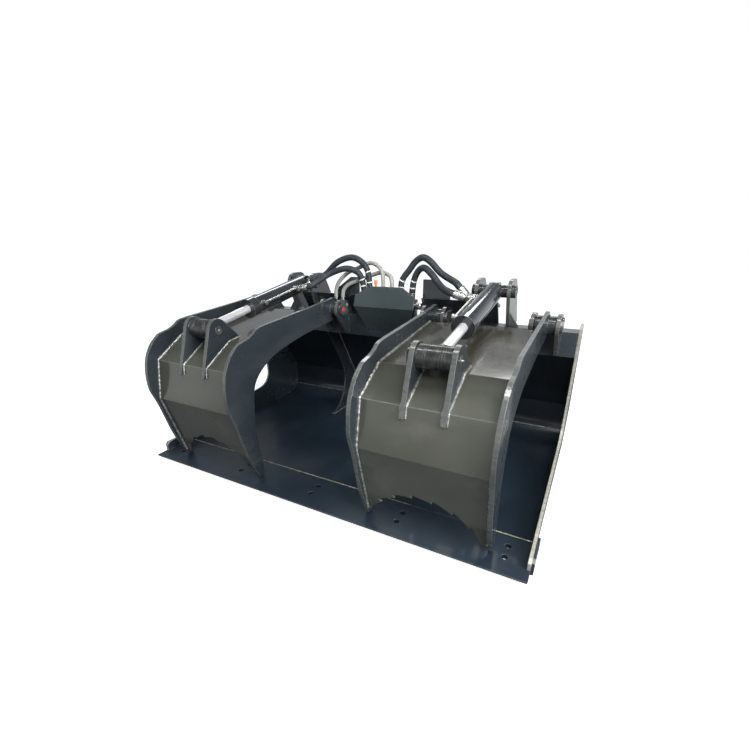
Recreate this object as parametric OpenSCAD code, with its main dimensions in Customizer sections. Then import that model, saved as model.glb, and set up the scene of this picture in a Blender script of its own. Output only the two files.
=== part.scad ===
// Grapple bucket for a compact loader: an open bucket with two claws over it.
// Sizes are in millimetres. X runs along the cutting edge, +Y to the rear where the
// loader couples on, +Z up. Heights start at the ground under the cutting edge.

/* [Bucket] */
// Width over the side plates
bucket_w = 1880; // [1780:10:1980]
// Cutting edge front to the origin of the part
frame_y = 581; // [560:1:600]
// Depth of the cutting edge plate, front to weld
edge_len = 208; // [190:1:240]
// Thickness of the cutting edge plate
edge_t = 20; // [16:1:25]
// Length of the ground bevel under the front of the cutting edge
edge_bevel = 32; // [20:1:40]
// Thickness left at the nose of the bevel
edge_nose = 6; // [4:1:10]
// Thickness of the floor and back sheets
shell_t = 10; // [8:1:12]
// Rearmost face of the heel, from the front of the cutting edge
heel_back = 1185; // [1120:5:1240]
// Outer radius of the heel bend
heel_r = 115; // [100:5:130]
// Height at which the back sheet starts to lean forward
knee_z = 215; // [200:5:240]
// Forward lean of the back sheet, in degrees
back_lean = 30; // [26:1:32]
// Height of the seam between floor sheet and back sheet, as a share of the heel radius
seam_share = 0.52; // [0.3:0.02:0.8]

/* [Edge bolt holes] */
// Diameter of the holes for a bolt-on edge
hole_d = 25; // [18:1:28]
// Outermost hole pair from the end of the edge
hole_end = 92; // [80:2:110]
// Number of hole pairs
hole_pairs = 5; // [3:2:5]
// Front row, from the front of the edge
hole_row_y = 86; // [70:1:100]
// Gap between the two rows
hole_row_gap = 61; // [50:1:66]

/* [Side plates] */
// Thickness of a side plate
side_t = 12; // [10:1:16]
// Start of the side plate behind the front of the edge
arm_front = 58; // [30:1:70]
// Height of the arm at its front
arm_front_z = 62; // [50:1:90]
// Radius of the throat curve in the side plate
throat_r = 100; // [80:1:115]
// Deepest line of the throat
throat_y = 885; // [860:5:900]
// Height of the deepest line of the throat
throat_z = 242; // [236:1:256]
// Top of the side plates
side_top_z = 700; // [690:2:730]
// Length of the outer wear pad at the front of each side
pad_len = 142; // [100:2:180]
// Thickness of that pad
pad_t = 10; // [8:1:16]
// Height of that pad over the cutting edge
pad_h = 42; // [36:1:60]

/* [Top beam] */
// Front face of the top beam
beam_front = 840; // [834:1:850]
// Underside of the top beam
beam_low = 560; // [540:2:580]
// Top of the top beam and of the back sheet
beam_top = 670; // [650:2:680]
// Wall of the top beam
beam_t = 10; // [8:1:12]
// Depth of the stiffening ribs inside the back
rib_depth = 128; // [100:2:150]
// Thickness of those ribs
rib_t = 10; // [8:1:12]
// Place of the ribs left and right of the middle
rib_x = 415; // [390:5:440]

/* [Claws] */
// Claw pivot, from the front of the edge
pivot_y = 772; // [766:1:780]
// Height of the claw pivot
pivot_z = 706; // [700:1:716]
// Reach from pivot to tine tip
claw_reach = 689; // [670:1:700]
// Gap between tine tips and cutting edge when closed
tip_gap = 4; // [2:0.5:10]
// Middle of a claw from the middle of the bucket
claw_mid = 546.5; // [530:0.5:560]
// Spacing of the two tines of a claw
claw_w = 501; // [480:1:520]
// Thickness of a tine
tine_t = 16; // [12:1:20]
// Radius of the tine end round the pivot
tine_end_r = 58; // [52:1:60]
// Thickness of the bent cover plate
cover_t = 10; // [8:1:12]
// Radius of the serrated opening in the cover
arc_r = 257; // [240:1:262]
// Height of the top of that opening over the ground
arc_top_z = 203; // [190:1:220]
// Height of a saw tooth on the opening
tooth_h = 15; // [8:1:20]
// Number of saw teeth
tooth_n = 7; // [5:1:9]
// Diameter of the claw pivot pins
pivot_pin_d = 45; // [38:1:50]
// Outer diameter of the pivot boss on a tine
boss_d = 78; // [70:1:84]
// Thickness of a pivot lug
lug_t = 16; // [12:1:20]
// Middle of a lug from the middle of its tine
lug_x = 52; // [48:1:58]
// Radius of a lug round the pin
lug_r = 50; // [46:1:54]

/* [Cylinder] */
// Cylinder pin on the claw, from the front of the edge
rod_pin_y = 130; // [124:1:140]
// Height of the cylinder pin on the claw
rod_pin_z = 697; // [690:1:704]
// Cylinder pin on the bucket, from the front of the edge
base_pin_y = 861; // [856:1:870]
// Height of the cylinder pin on the bucket
base_pin_z = 826; // [820:1:834]
// Diameter of both cylinder pins
cyl_pin_d = 35; // [30:1:36]
// Outer diameter of the barrel
barrel_d = 86; // [80:1:90]
// Bore of the barrel
barrel_bore = 70; // [60:1:72]
// Outer diameter of the gland head
gland_d = 95; // [91:1:100]
// Length of the gland head
gland_len = 46; // [36:1:56]
// Base pin to front face of the gland head
barrel_len = 470; // [450:2:480]
// Diameter of the rod
rod_d = 38; // [32:1:45]
// Outer diameter of the rod eye
rod_eye_d = 84; // [80:1:88]
// Width of the rod eye
rod_eye_w = 46; // [40:1:60]
// Play of the rod eye round its pin, at the opened pivot of the linkage
eye_play = 9; // [8.5:0.5:10]
// Spacing of the two ears that carry the rod pin
ear_w = 146; // [130:2:150]
// Thickness of an ear
ear_t = 18; // [16:1:22]
// Radius of an ear round the pin
ear_r = 50; // [46:1:52]
// Spacing of the two plates of a cylinder bracket
bracket_w = 146; // [130:2:150]
// Thickness of a bracket plate
bracket_t = 16; // [12:1:20]

/* [Loader coupler] */
// Width of the coupler plate
coupler_w = 1134; // [1100:2:1160]
// Thickness of the coupler plate
coupler_t = 10; // [8:1:12]
// Lower end of the coupler plate
coupler_low = 300; // [280:5:340]
// Upper end of the coupler plate
coupler_top = 775; // [760:5:780]
// Depth of the lower ledge behind the plate
ledge_len = 65; // [55:1:70]
// Thickness of ledge and lip
ledge_t = 12; // [10:1:16]
// Length of the upper lip
lip_len = 60; // [50:1:66]
// Middle of a lock slot from the end of the ledge
slot_edge = 58; // [50:1:90]
// Width of a lock slot
slot_w = 34; // [28:1:36]
// Length of a lock slot
slot_len = 64; // [60:1:70]

/* [Guard and hydraulics] */
// Width of the middle guard at its bend
guard_w = 345; // [320:5:360]
// Width of the guard along its top
guard_top_w = 180; // [160:5:200]
// Thickness of the guard
guard_t = 6; // [5:1:8]
// Height of the guard bend
guard_bend_z = 726; // [716:2:740]
// Front of the guard at its bend
guard_bend_y = 790; // [784:1:800]
// Top of the guard
guard_top_z = 826; // [810:2:840]
// Lower end of the guard
guard_low_z = 598; // [590:2:610]
// Width of the manifold block
manifold_w = 320; // [310:5:330]
// Depth of the manifold block
manifold_d = 56; // [50:1:60]
// Height of the manifold block
manifold_h = 60; // [50:1:64]
// Outer diameter of a hose
hose_d = 32; // [24:1:33]
// Diameter of a steel line on a barrel
line_d = 12; // [10:1:14]
// Diameter of the loader side supply hoses
supply_d = 22; // [16:1:24]

/* [Hidden] */

// Rounds are true circles; this is only how finely they are drawn on screen.
$fn = 64;
// Overrun of every cut
over = 1;
// Gap of a piece set into another and welded or pressed there
set_gap = 0.05;
// Radial play of a pin or rod that runs
run_gap = 0.08;
// Play at the side of a piece that turns
side_gap = 1;

// Colours of the painted steel and the hardware
paint = [0.18, 0.21, 0.24];
cover_paint = [0.27, 0.28, 0.26];
bright = [0.72, 0.73, 0.74];
chrome = [0.85, 0.86, 0.88];
rubber = [0.10, 0.11, 0.13];

half_w = bucket_w / 2;
in_w = half_w - side_t;
heel_cy = heel_back - heel_r;
tip_z = edge_t + tip_gap;
claw_drop = pivot_z - tip_z;
seam_a = asin(1 - seam_share);
hole_pitch = (bucket_w - 2 * hole_end) / (hole_pairs - 1);

// Outline helpers; outlines lie in the Y-Z plane

// Corner of the back sheet where it starts to lean, for a face t inside the outer one
function knee(t) = [heel_back - t, knee_z - t * tan(back_lean / 2)];
// Y of that leaning face at height z
function lean_y(z, t) = knee(t)[0] - (z - knee(t)[1]) * tan(back_lean);
// Unit vector and left-hand normal
function unit(v) = v / norm(v);
function normal(a, b) = let (d = unit(b - a)) [-d[1], d[0]];
// Corner of a bent sheet's inner face
function corner(p, i, t) =
    i == 0 ? p[0] + t * normal(p[0], p[1]) :
    i == len(p) - 1 ? p[i] + t * normal(p[i - 1], p[i]) :
    let (m = normal(p[i - 1], p[i]), n = normal(p[i], p[i + 1]))
        p[i] + t * (m + n) / (1 + m * n);
// Closed outline of a bent sheet of thickness t whose outer face runs through p
function sheet(p, t) = concat(p, [for (i = [len(p) - 1:-1:0]) corner(p, i, t)]);
// Point of a smooth curve between b and c
function curve(a, b, c, d, s) = 0.5 * (2 * b + (c - a) * s
    + (2 * a - 5 * b + 4 * c - d) * s * s + (3 * b - a - 3 * c + d) * s * s * s);
// Smooth run through the points p, n steps between two of them
function smooth(p, n) = concat(
    [for (i = [0:len(p) - 2]) for (k = [0:n - 1])
        curve(p[max(i - 1, 0)], p[i], p[i + 1], p[min(i + 2, len(p) - 1)], k / n)],
    [p[len(p) - 1]]);
// Point where a line from p runs on to the circle of radius r round c, side s; it lies a
// little inside the circle, so that the line and the circle meet in a clear corner
tuck = 0.05;
function touch(p, c, r, s) = let (v = p - c, q = r - tuck,
    a = atan2(v[1], v[0]), b = acos(q / norm(v))) c + q * [cos(a + s * b), sin(a + s * b)];
// Place on the claw: u shares of the reach before the pivot, v shares of the drop
function on_claw(q) = [pivot_y - q[0] * claw_reach, tip_z + q[1] * claw_drop];

// Extrudes a Y-Z outline from x0 to x1 and sets it in the part's frame
module slab(x0, x1) {
    translate([x0, -frame_y, 0]) rotate([90, 0, 90]) linear_extrude(x1 - x0) children();
}
// Round bar along X, from x0 to x1, centred on y, z
module bar(x0, x1, y, z, r) {
    translate([x0, y - frame_y, z]) rotate([0, 90, 0]) cylinder(h = x1 - x0, r = r);
}
// Round bar between two points of the frame
module rod_between(a, b, r) {
    v = b - a;
    translate(a) rotate([0, acos(v[2] / norm(v)), atan2(v[1], v[0])])
        cylinder(h = norm(v), r = r);
}

// Bucket

module cutting_edge() {
    color(paint) difference() {
        slab(-half_w, half_w) polygon([[0, edge_t], [0, edge_t - edge_nose],
            [edge_bevel, 0], [edge_len, 0], [edge_len, edge_t]]);
        for (i = [0:hole_pairs - 1], k = [0, 1])
            translate([(i - (hole_pairs - 1) / 2) * hole_pitch,
                hole_row_y + k * hole_row_gap - frame_y, -over])
                cylinder(h = edge_t + 2 * over, d = hole_d);
    }
}

// Space inside the sheet, t inside its outer face, up to the height top
module hollow(t, top, front) {
    polygon([[front, t], [heel_cy, t], [heel_cy, heel_r], [heel_back - t, heel_r],
        knee(t), [lean_y(top, t), top], [front, top]]);
    translate([heel_cy, heel_r]) circle(r = heel_r - t);
}
module sheet_outline() {
    difference() {
        hollow(0, beam_top, edge_len);
        hollow(shell_t, beam_top + over, edge_len - over);
    }
}
// Half plane under the seam line
module under_seam() {
    polygon([[0, heel_r], [heel_cy, heel_r],
        [heel_cy + 2 * heel_r * cos(seam_a), heel_r - 2 * heel_r * sin(seam_a)],
        [heel_cy, -heel_r], [0, -heel_r]]);
}
module floor_sheet() {
    color(paint) slab(-in_w, in_w) intersection() {
        sheet_outline();
        under_seam();
    }
}
module back_sheet() {
    color(paint) slab(-in_w, in_w) difference() {
        sheet_outline();
        under_seam();
    }
}

// Front edge of the side plate over the throat, as shares of its setback and height
throat_shares = [[0, 0], [0.01, 0.09], [0.11, 0.34], [0.36, 0.56], [0.74, 0.78], [1, 0.93],
    [1, 1]];
// Lead of the side plate before the top beam
side_lead = 2;
// Corner cut at the front of the arm
arm_chamfer = 14;
module side_outline() {
    set_back = throat_y - beam_front + side_lead;
    rise = side_top_z - throat_z;
    c = [throat_y - throat_r, throat_z];
    arm = [arm_front + arm_chamfer, arm_front_z];
    difference() {
        union() {
            hollow(0, side_top_z, edge_len);
            translate([arm_front, edge_t])
                square([edge_len - arm_front + over, side_top_z - edge_t]);
        }
        polygon(concat([[0, side_top_z + over], [0, arm_front_z - arm_chamfer],
            [arm_front, arm_front_z - arm_chamfer], arm, touch(arm, c, throat_r, 1), c],
            smooth([for (q = throat_shares)
                [throat_y - q[0] * set_back, throat_z + q[1] * rise]], 3),
            [[beam_front - side_lead, side_top_z + over]]));
        translate(c) circle(r = throat_r);
    }
}
module side_plate_left() {
    color(paint) slab(-half_w, -in_w) side_outline();
}
module side_plate_right() {
    color(paint) slab(in_w, half_w) side_outline();
}

// Place of the wear pads behind the front of the edge, and their cut corners
pad_front = 62;
pad_cut = 12;
module side_wear_pads() {
    color(paint) for (s = [-1, 1]) {
        x = s > 0 ? half_w : -half_w - pad_t;
        slab(x, x + pad_t) polygon([[pad_front, 0], [pad_front + pad_len, 0],
            [pad_front + pad_len, edge_t + pad_h - pad_cut],
            [pad_front + pad_len - pad_cut, edge_t + pad_h],
            [pad_front + pad_cut, edge_t + pad_h],
            [pad_front, edge_t + pad_h - pad_cut]]);
    }
}

module top_beam() {
    in_low = beam_low + beam_t;
    in_top = beam_top - beam_t;
    color(paint) slab(-in_w, in_w) difference() {
        polygon([[beam_front, beam_low], [beam_front, beam_top],
            [lean_y(beam_top, shell_t) - set_gap, beam_top],
            [lean_y(beam_low, shell_t) - set_gap, beam_low]]);
        polygon([[beam_front + beam_t, in_low], [beam_front + beam_t, in_top],
            [lean_y(in_top, shell_t) + over, in_top],
            [lean_y(in_low, shell_t) + over, in_low]]);
    }
}

// Front edge of a rib: shares of its depth before the heel, and of its height
rib_shares = [[2.36, 0], [1.84, 0.055], [1.38, 0.16], [1.14, 0.28], [1.09, 0.39],
    [1.21, 0.52], [1.58, 0.67], [1.96, 0.82], [2.44, 1]];
module inner_ribs() {
    rise = beam_low - shell_t;
    front = smooth([for (q = rib_shares)
        [heel_back - q[0] * rib_depth, shell_t + q[1] * rise]], 3);
    color(paint) for (s = [-1, 1])
        slab(s * rib_x - rib_t / 2, s * rib_x + rib_t / 2) difference() {
            hollow(shell_t, beam_low, heel_back - rib_shares[0][0] * rib_depth);
            polygon(concat([[0, 0], [front[0][0], 0]], front,
                [[front[len(front) - 1][0], beam_low + over], [0, beam_low + over]]));
        }
}

// Middle planes of the tines: outer and inner one of a claw
function tine_x(side, outer) = side * (claw_mid + (outer ? claw_w / 2 : -claw_w / 2));
// Seat of a lug on the beam, and width of its tail down the front of the beam
lug_back = 892;
lug_crown = 746;
tail_w = 15;
tail_up = 6;
module lug_outline() {
    c = [pivot_y, pivot_z];
    tail = [beam_front - tail_w, beam_low + tail_up];
    difference() {
        union() {
            translate(c) circle(r = lug_r);
            polygon([c, touch(tail, c, lug_r, -1), tail, [beam_front, beam_low + tail_up],
                [beam_front, beam_top], [lug_back, beam_top],
                [(pivot_y + lug_back + beam_front) / 3, lug_crown],
                [pivot_y, pivot_z + lug_r]]);
        }
        translate(c) circle(d = pivot_pin_d + 2 * set_gap);
    }
}
module claw_lugs(side) {
    color(paint) for (outer = [false, true], k = [-1, 1]) {
        x = tine_x(side, outer) + k * lug_x;
        slab(x - lug_t / 2, x + lug_t / 2) lug_outline();
    }
}
module left_claw_lugs() { claw_lugs(-1); }
module right_claw_lugs() { claw_lugs(1); }

// Bracket plate: foot behind the front of the beam, front lean, depth behind the sheet,
// low end, crown over the pin, rounding
bracket_step = 32;
bracket_lean = 21;
bracket_deep = 124;
bracket_low = 600;
bracket_head = 52;
bracket_r = 50;
bracket_foot = beam_front + bracket_step;
bracket_top = base_pin_z + bracket_head;
// Small gusset at the foot of each bracket plate: its sizes, place behind the beam's front
gusset_w = 44;
gusset_h = 62;
gusset_t = 8;
gusset_step = 26;
module bracket_outline() {
    foot = [bracket_foot, beam_top];
    low = [lean_y(bracket_low, 0), bracket_low];
    heel = low + bracket_deep * [cos(back_lean), sin(back_lean)];
    mid_z = bracket_top - bracket_r;
    front = [bracket_foot - (mid_z - beam_top) * tan(bracket_lean)
        + bracket_r / cos(bracket_lean), mid_z];
    rear = [heel[0] - (mid_z - heel[1]) * tan(back_lean)
        - bracket_r / cos(back_lean), mid_z];
    difference() {
        union() {
            for (c = [front, rear]) translate(c) circle(r = bracket_r);
            polygon([front, touch(foot, front, bracket_r, -1), foot,
                [lean_y(beam_top, 0), beam_top], low, heel, touch(heel, rear, bracket_r, 1),
                rear]);
            polygon([front, [front[0], bracket_top], [rear[0], bracket_top], rear]);
        }
        translate([base_pin_y, base_pin_z]) circle(d = cyl_pin_d + 2 * set_gap);
    }
}
module cylinder_bracket(side) {
    color(paint) for (k = [-1, 1]) {
        x = side * claw_mid + k * bracket_w / 2;
        slab(x - bracket_t / 2, x + bracket_t / 2) bracket_outline();
        translate([x + k * bracket_t / 2, beam_front + gusset_step + gusset_t - frame_y, beam_top])
            rotate([90, 0, 0]) linear_extrude(gusset_t)
                polygon([[0, 0], [k * gusset_w, 0], [0, gusset_h]]);
    }
}
module left_cylinder_bracket() { cylinder_bracket(-1); }
module right_cylinder_bracket() { cylinder_bracket(1); }

// Loader coupler on the back

// Gap of the bracket plates in their slots, and half width of the middle cut-out
slot_gap = 0.5;
cut_out = 185;
// Slots that the four bracket plates stand in, with a gap on each side of a plate
module bracket_slots(gap) {
    for (s = [-1, 1], k = [-1, 1]) {
        x = s * claw_mid + k * bracket_w / 2 - bracket_t / 2 - gap;
        slab(x, x + bracket_t + 2 * gap) polygon([
            [beam_front, bracket_low - bracket_t], [heel_back, bracket_low - bracket_t],
            [heel_back, coupler_top + ledge_t], [beam_front, coupler_top + ledge_t]]);
    }
}
module coupler_plate() {
    color(paint) difference() {
        slab(-coupler_w / 2, coupler_w / 2) polygon([
            [lean_y(coupler_low, 0), coupler_low], [lean_y(coupler_top, 0), coupler_top],
            [lean_y(coupler_top, -coupler_t), coupler_top],
            [lean_y(coupler_low, -coupler_t), coupler_low]]);
        bracket_slots(slot_gap);
        slab(-cut_out, cut_out) polygon([[beam_front, beam_top], [heel_back, beam_top],
            [heel_back, coupler_top + over], [beam_front, coupler_top + over]]);
    }
}
// Point on the rear face of the coupler plate at height z, and steps along and off it
function coupler_at(z, along, off) = [lean_y(z, -coupler_t), z]
    + along * [-sin(back_lean), cos(back_lean)] + off * [cos(back_lean), sin(back_lean)];
// Fall of the lip behind the plate, in degrees under square
lip_fall = 50;
module coupler_lip() {
    a = [lean_y(coupler_top, -coupler_t), coupler_top];
    d = [cos(back_lean - lip_fall), sin(back_lean - lip_fall)];
    n = [d[1], -d[0]];
    b = a - [0, ledge_t / cos(back_lean - lip_fall)]
        + [ledge_t / cos(back_lean - lip_fall) * tan(back_lean), 0];
    color(paint) difference() {
        slab(-coupler_w / 2, coupler_w / 2)
            polygon([a, a + lip_len * d, a + lip_len * d + ledge_t * n, b]);
        slab(-cut_out, cut_out) polygon([[beam_front, beam_top], [heel_back, beam_top],
            [heel_back, coupler_top + over], [beam_front, coupler_top + over]]);
        bracket_slots(side_gap);
    }
}
module coupler_ledge() {
    color(paint) difference() {
        slab(-coupler_w / 2, coupler_w / 2) polygon([coupler_at(coupler_low, 0, 0),
            coupler_at(coupler_low, 0, ledge_len),
            coupler_at(coupler_low, ledge_t, ledge_len),
            coupler_at(coupler_low, ledge_t, 0)]);
        for (s = [-1, 1])
            slab_slot(s * (coupler_w / 2 - slot_edge));
    }
}
// Cutter of one lock slot, square to the ledge
module slab_slot(x) {
    c = coupler_at(coupler_low, -over, ledge_len / 2);
    translate([x, c[0] - frame_y, c[1]]) rotate([back_lean, 0, 0])
        linear_extrude(ledge_t + 2 * over) {
            square([slot_len - slot_w, slot_w], center = true);
            for (k = [-1, 1])
                translate([k * (slot_len - slot_w) / 2, 0]) circle(d = slot_w);
        }
}

// Upright plates over the lip: place, width, height and slanted shoulder
gus_y = 878;
gus_t = 10;
gus_in = 187;
gus_flat = 50;
gus_out = 330;
gus_top = 864;
module rear_gussets() {
    color(paint) for (s = [-1, 1]) difference() {
        translate([0, gus_y + gus_t - frame_y, 0]) rotate([90, 0, 0]) linear_extrude(gus_t)
            polygon([[s * gus_in, beam_top], [s * gus_out, beam_top],
                [s * gus_out, coupler_top + gus_flat / 2],
                [s * (gus_in + gus_flat), gus_top], [s * gus_in, gus_top]]);
        slab(-coupler_w, coupler_w) polygon([
            [heel_back, lip_top(heel_back)], [beam_front, lip_top(beam_front)],
            [beam_front, 0], [heel_back, 0]]);
    }
}
// Height of the upper face of the lip at y
function lip_top(y) = coupler_top
    - (y - lean_y(coupler_top, -coupler_t)) * tan(lip_fall - back_lean);

// Guard and hydraulics

// Lean of the guard's upper part at its top
guard_back = 40;
guard_shoulder = 46;
guard_toe_w = 240;
module middle_guard() {
    p = [[beam_front, guard_low_z], [guard_bend_y, guard_bend_z],
        [guard_bend_y + guard_back, guard_top_z]];
    shoulder_z = guard_top_z - guard_shoulder;
    color(paint) intersection() {
        slab(-guard_w / 2, guard_w / 2) intersection() {
            polygon(sheet([for (i = [2:-1:0]) p[i]], guard_t));
            square([beam_front, guard_top_z + over]);
        }
        translate([0, beam_front + over - frame_y, 0]) rotate([90, 0, 0])
            linear_extrude(beam_front) polygon([
                [-guard_toe_w / 2, 0], [guard_toe_w / 2, 0],
                [guard_toe_w / 2, guard_low_z], [guard_w / 2, guard_bend_z],
                [guard_w / 2, shoulder_z], [guard_top_w / 2, guard_top_z + over],
                [-guard_top_w / 2, guard_top_z + over], [-guard_w / 2, shoulder_z],
                [-guard_w / 2, guard_bend_z], [-guard_toe_w / 2, guard_low_z]]);
    }
}

// Row of ports on the manifold
port_y = 852;
// Height of the feet of the block
block_foot = 36;
block_foot_w = 40;
// Places of the four work ports and the two supply ports along the block
work_port_x = [-140, -104, 76, 140];
supply_port_x = [-24, 24];
cap_port_x = -68;
adaptor_h = 34;
adaptor_r = 17;
cap_r = 9;
cap_h = 88;
block_z = beam_top + block_foot;
module manifold_block() {
    color(paint) translate([-manifold_w / 2, port_y - manifold_d / 2 - frame_y, block_z])
        cube([manifold_w, manifold_d, manifold_h]);
}
module manifold_feet() {
    front = max(beam_front, port_y - manifold_d / 2);
    color(paint) for (s = [-1, 1])
        translate([s * (manifold_w - block_foot_w) / 2 - block_foot_w / 2,
            front - frame_y, beam_top])
            cube([block_foot_w, port_y + manifold_d / 2 - front, block_foot]);
}
// Fittings on top of the block, and one on its right end
module manifold_adaptors() {
    color(bright) for (x = concat(work_port_x, supply_port_x))
        translate([x, port_y - frame_y, block_z + manifold_h]) {
            cylinder(h = adaptor_h / 2, r = adaptor_r, $fn = 6);
            translate([0, 0, adaptor_h / 2]) cylinder(h = adaptor_h / 2, r = hose_d / 2);
        }
    color(bright) bar(manifold_w / 2, manifold_w / 2 + adaptor_h, port_y,
        block_z + manifold_h / 2, adaptor_r);
}
module port_cap() {
    color([0.75, 0.33, 0.12])
        translate([cap_port_x, port_y - frame_y, block_z + manifold_h]) {
            cylinder(h = cap_h - 2 * cap_r, r = cap_r * 2 / 3);
            translate([0, 0, cap_h - 2 * cap_r]) cylinder(h = 2 * cap_r, r = cap_r);
        }
}

// Pins and fittings on the bucket

// Head of a pin, end of a pin past its plate, collar ring, and its bolt
head_t = 10;
head_over = 8;
pin_tail = 8;
collar_t = 18;
collar_wall = 10;
bolt_r = 6;
bolt_head_r = 10;
bolt_head_h = 7;
// One pin: bar with a head on the side away from the middle of the bucket
module pin(x0, x1, y, z, d) {
    bar(x0, x1, y, z, d / 2);
    bar(x1, x1 + head_t, y, z, d / 2 + head_over);
}
module pivot_pins() {
    reach = lug_x + lug_t / 2;
    color(bright) for (side = [-1, 1], outer = [false, true]) {
        x = tine_x(side, outer);
        pin(x - reach - pin_tail, x + reach, pivot_y, pivot_z, pivot_pin_d);
    }
}
module base_pins() {
    reach = bracket_w / 2 + bracket_t / 2;
    color(bright) for (side = [-1, 1])
        bar(side * claw_mid - reach - 2 * pin_tail, side * claw_mid + reach + 2 * pin_tail,
            base_pin_y, base_pin_z, cyl_pin_d / 2);
}
// Rings beside the barrel eye on the base pins
module pin_collars() {
    eye = rod_eye_w / 2 + side_gap;
    plate = (bracket_w - bracket_t) / 2;
    color(paint) for (side = [-1, 1], k = [-1, 1]) {
        x0 = side * claw_mid + (k > 0 ? eye : -plate);
        difference() {
            bar(x0, x0 + plate - eye, base_pin_y, base_pin_z, cyl_pin_d / 2 + collar_wall);
            bar(x0 - over, x0 + plate - eye + over, base_pin_y, base_pin_z,
                cyl_pin_d / 2 + set_gap);
        }
        x1 = side * claw_mid + (k > 0 ? plate + bracket_t : -plate - bracket_t - collar_t);
        difference() {
            bar(x1, x1 + collar_t, base_pin_y, base_pin_z, cyl_pin_d / 2 + collar_wall);
            bar(x1 - over, x1 + collar_t + over, base_pin_y, base_pin_z,
                cyl_pin_d / 2 + set_gap);
        }
    }
}
// Bolt that locks each pivot pin: place on the lug, seen from the pin
lock_y = 44;
lock_z = 20;
module collar_bolts() {
    reach = lug_x + lug_t / 2;
    color(bright) for (side = [-1, 1], outer = [false, true])
        translate([tine_x(side, outer) + reach, pivot_y + lock_y - frame_y, pivot_z + lock_z])
            rotate([0, 90, 0]) cylinder(h = bolt_head_h, r = bolt_head_r, $fn = 6);
}
// Quick couplers standing on the beam
quick_x = [-318, -274];
quick_y = 848;
quick_h = 86;
quick_r = 14;
quick_grip = 16;
module quick_couplers() {
    color(bright) for (x = quick_x) translate([x, quick_y - frame_y, beam_top]) {
        cylinder(h = quick_h / 3, r = quick_grip, $fn = 6);
        translate([0, 0, quick_h / 3]) cylinder(h = quick_h / 3, r = quick_r);
        translate([0, 0, quick_h * 2 / 3]) cylinder(h = quick_h / 3, r = quick_r * 2 / 3);
    }
}

// Claws

// Outer edge of a tine from the pivot round to the tip: shares of reach and drop
tine_outer_shares = [[0.3, 1.055], [0.6, 1.03], [0.83, 1.01], [0.888, 0.981], [0.939, 0.959],
    [0.983, 0.949], [1.026, 0.938], [1.062, 0.912], [1.103, 0.875], [1.147, 0.805],
    [1.171, 0.727], [1.18, 0.639], [1.176, 0.573], [1.152, 0.496], [1.132, 0.422],
    [1.08, 0.195], [1.004, 0.003]];
tine_tip_share = [0.964, 0];
tine_inner_shares = [[0.961, 0.119], [0.975, 0.25], [0.98, 0.365], [0.975, 0.457],
    [0.948, 0.626], [0.888, 0.713], [0.797, 0.773], [0.716, 0.809], [0.582, 0.84],
    [0.383, 0.875], [0.105, 0.906]];
module tine_outline() {
    c = [pivot_y, pivot_z];
    top = smooth([for (q = tine_outer_shares) on_claw(q)], 3);
    low = smooth([for (q = tine_inner_shares) on_claw(q)], 3);
    difference() {
        union() {
            translate(c) circle(r = tine_end_r);
            polygon(concat([c, touch(top[0], c, tine_end_r, -1)], top,
                [on_claw(tine_tip_share)], low,
                [touch(low[len(low) - 1], c, tine_end_r, 1)]));
        }
        translate(c) circle(d = boss_d + 2 * set_gap);
    }
}
module tine(side, outer) {
    x = tine_x(side, outer);
    color(paint) slab(x - tine_t / 2, x + tine_t / 2) tine_outline();
}
module left_outer_tine() { tine(-1, true); }
module left_inner_tine() { tine(-1, false); }
module right_outer_tine() { tine(1, true); }
module right_inner_tine() { tine(1, false); }

// Bends of the cover plate: shares of reach and drop
cover_shares = [[0.126, 0.99], [0.859, 0.903], [1.077, 0.771], [1.128, 0.507],
    [1.012, 0.029]];
cover_pts = [for (q = cover_shares) on_claw(q)];
// Arc of the cover: sweep of the toothed part each side of its middle, steps of a tooth
arc_sweep = 64;
tooth_steps = 3;
module arc_cutter() {
    polygon(concat([[-arc_r, -arc_r]],
        [for (a = [-90, -80, -72]) arc_r * [sin(a), cos(a)]],
        [for (i = [0:tooth_n - 1], k = [0:tooth_steps])
            let (a = -arc_sweep + (i + k / tooth_steps) * 2 * arc_sweep / tooth_n)
                (arc_r - tooth_h * k / tooth_steps) * [sin(a), cos(a)]],
        [for (a = [arc_sweep, 72, 80, 90]) arc_r * [sin(a), cos(a)]],
        [[arc_r, -arc_r]]));
}
module cover_plate(side) {
    half = (claw_w - tine_t) / 2;
    color(cover_paint) difference() {
        slab(side * claw_mid - half, side * claw_mid + half) polygon(sheet(cover_pts, cover_t));
        translate([side * claw_mid, over - frame_y + beam_front / 2, arc_top_z - arc_r])
            rotate([90, 0, 0]) linear_extrude(beam_front)
                scale([side, 1]) arc_cutter();
    }
}
module left_cover_plate() { cover_plate(-1); }
module right_cover_plate() { cover_plate(1); }

// Ears: share of the front facet under their toe, share of the top facet under their tail
ear_toe_share = 0.766;
ear_tail_share = 0.129;
ear_toe = 14;
module ear_outline() {
    c = [rod_pin_y, rod_pin_z];
    foot = cover_pts[3] + ear_toe_share * (cover_pts[2] - cover_pts[3]);
    toe = foot - ear_toe * normal(cover_pts[2], cover_pts[3]);
    tail = cover_pts[1] + ear_tail_share * (cover_pts[0] - cover_pts[1]);
    difference() {
        union() {
            translate(c) circle(r = ear_r);
            polygon([c, touch(toe, c, ear_r, -1), toe, foot, cover_pts[2], cover_pts[1],
                tail, touch(tail, c, ear_r, 1)]);
        }
        translate(c) circle(d = cyl_pin_d + 2 * set_gap);
    }
}
module rod_ears(side) {
    color(paint) for (k = [-1, 1]) {
        x = side * claw_mid + k * ear_w / 2;
        slab(x - ear_t / 2, x + ear_t / 2) ear_outline();
    }
}
module left_rod_ears() { rod_ears(-1); }
module right_rod_ears() { rod_ears(1); }

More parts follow.
